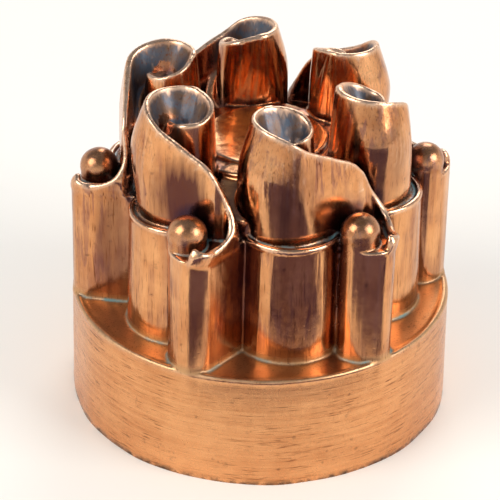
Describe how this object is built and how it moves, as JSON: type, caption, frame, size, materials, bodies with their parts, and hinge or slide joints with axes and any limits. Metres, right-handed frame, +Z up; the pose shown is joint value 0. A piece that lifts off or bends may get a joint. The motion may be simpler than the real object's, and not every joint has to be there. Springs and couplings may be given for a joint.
{
  "type": "jelly mould",
  "caption": "Copper jelly mould: a thin metal shell with a round drum, a ring of scroll-topped towers on pillars and a raised centre disc, open underneath to be filled.",
  "frame": {"origin": "centre of the open rim, in the plane that the mould stands on", "axes": "+Z up along the mould's axis, from the open rim to the towers; -Y towards the front"},
  "size_m": [0.13, 0.13, 0.1182],
  "materials": {
    "copper": "aged polished copper sheet, tinned inside"
  },
  "bodies": {
    "root": {"mould_shell": "copper"}
  },
  "joints": []
}
